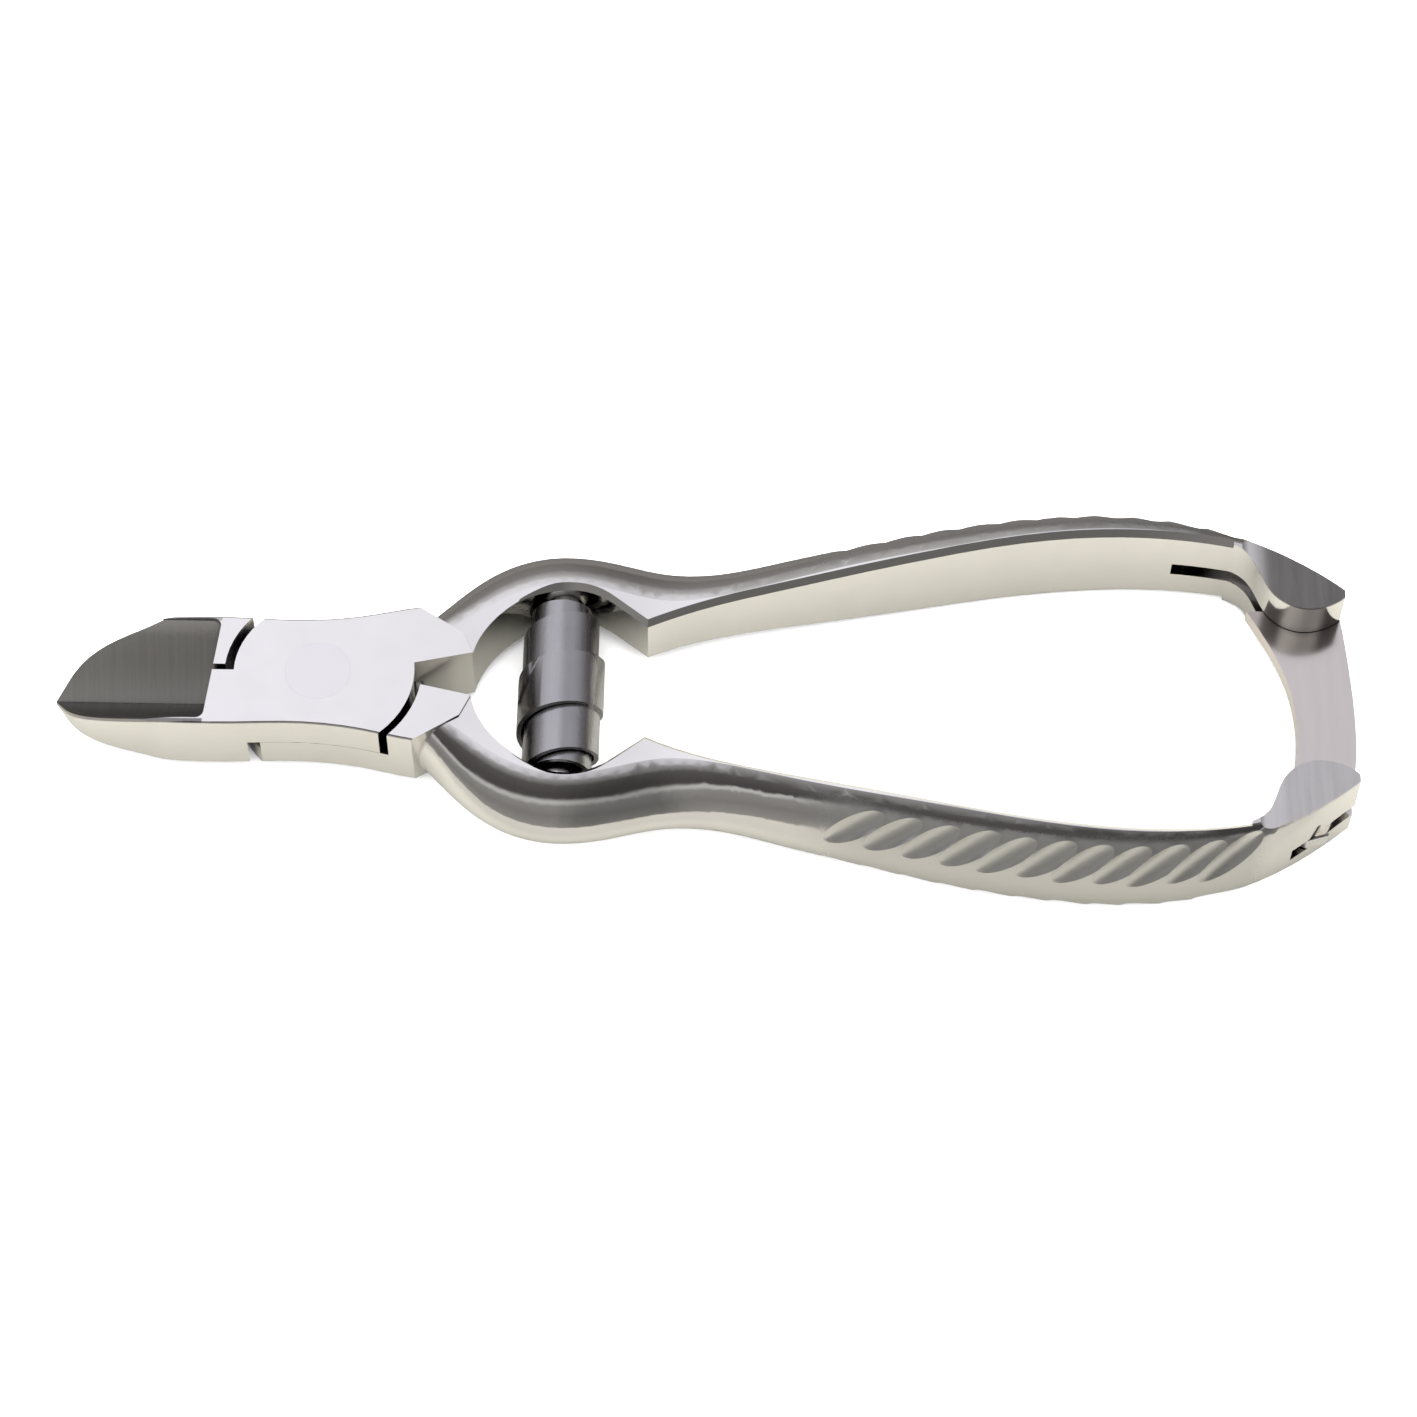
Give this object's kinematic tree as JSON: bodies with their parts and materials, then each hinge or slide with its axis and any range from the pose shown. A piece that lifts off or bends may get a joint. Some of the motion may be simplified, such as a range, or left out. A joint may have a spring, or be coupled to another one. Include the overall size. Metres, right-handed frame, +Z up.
{
  "type": "nail clipper",
  "caption": "Side-cutting toenail nipper with hollow-ground curved jaws, lapped pivot joint, fluted bow handles, barrel spring between them and a swinging lock link across the ends.",
  "frame": {"origin": "on the pivot's axis, at the back face of the lapped joint", "axes": "+Z is up off the back face to the front face, +X runs from the joint along the handles, -X towards the jaw tip, +Y to the handle of the front lever"},
  "size_m": [0.1402, 0.0466, 0.0116],
  "materials": {
    "front_lever": "polished nickel plate over forged steel, brushed in the jaw bowl and the handle scoops",
    "back_lever": "polished nickel plate over forged steel, brushed in the jaw bowl and the handle scoops",
    "pivot_rivet": "polished, ground flush",
    "barrel_spring": "tempered strip, satin blue-grey",
    "front_spring_peg": "polished",
    "back_spring_peg": "polished",
    "lock_link": "polished",
    "link_pin": "ground flush",
    "catch_pin": "ground flush",
    "link_leaf_spring": "spring strip, satin",
    "leaf_pin": "ground flush"
  },
  "bodies": {
    "front_lever": {"front_lever": "front_lever", "pivot_rivet": "pivot_rivet", "front_spring_peg": "front_spring_peg", "barrel_spring": "barrel_spring", "catch_pin": "catch_pin"},
    "back_lever": {"back_lever": "back_lever", "back_spring_peg": "back_spring_peg", "link_pin": "link_pin", "link_leaf_spring": "link_leaf_spring", "leaf_pin": "leaf_pin"},
    "lock_link": {"lock_link": "lock_link"}
  },
  "joints": [
    {"name": "handle_pivot", "type": "hinge", "parent": "front_lever", "child": "back_lever", "pos_m": [0, 0, 0], "axis": [0, 0, -1], "range_deg": [0, 12], "deforming": ["barrel_spring"]},
    {"name": "link_swing", "type": "hinge", "parent": "back_lever", "child": "lock_link", "pos_m": [0.1058, -0.0129, 0.0033], "axis": [0, 0, -1], "range_deg": [0, 72]}
  ],
  "couplings": [
    {"joint": "link_swing", "follows": "handle_pivot", "ratio": 6}
  ]
}
